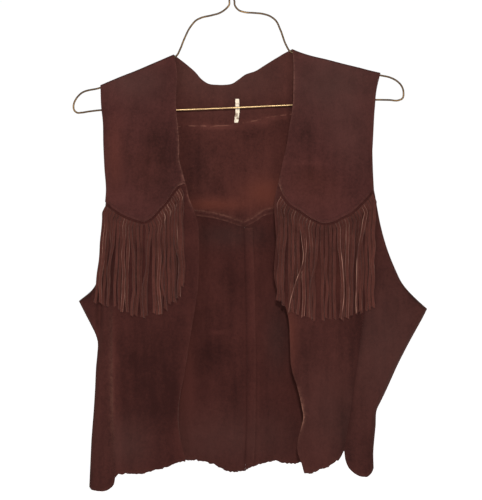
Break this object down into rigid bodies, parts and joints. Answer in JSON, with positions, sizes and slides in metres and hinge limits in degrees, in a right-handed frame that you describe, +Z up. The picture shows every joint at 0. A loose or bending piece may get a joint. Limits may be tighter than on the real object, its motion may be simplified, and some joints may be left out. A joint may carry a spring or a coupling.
{
  "type": "leather vest on a wire hanger",
  "caption": "Brown suede western vest with pointed front yokes and long fringe, hanging open on a brass-coloured wire hanger.",
  "frame": {"origin": "inside top of the hanger's hook, where a rail carries it", "axes": "+X towards the wearer's left, -Y the front of the vest, +Z up"},
  "size_m": [0.4618, 0.0574, 0.7278],
  "materials": {
    "suede": "matt napped suede, reddish brown",
    "fringe": "suede strands with paler cut edges",
    "suede_inside": "matt flesh side of the suede",
    "wire": "thin brass-coloured steel wire",
    "tape": "blank woven cream tape"
  },
  "bodies": {
    "root": {"front_yoke_right": "suede", "front_yoke_left": "suede", "front_lower_right": "suede", "front_lower_left": "suede", "fringe_right": "fringe", "fringe_left": "fringe", "back_yoke": "suede", "back_lower_right": "suede", "back_lower_left": "suede", "back_seam_allowance": "suede_inside", "centre_seam_allowance": "suede_inside", "neck_tape": "tape", "hanger_hook": "wire", "hanger_neck_wrap": "wire", "hanger_shoulder_right": "wire", "hanger_shoulder_left": "wire", "hanger_bar": "wire"}
  },
  "joints": []
}
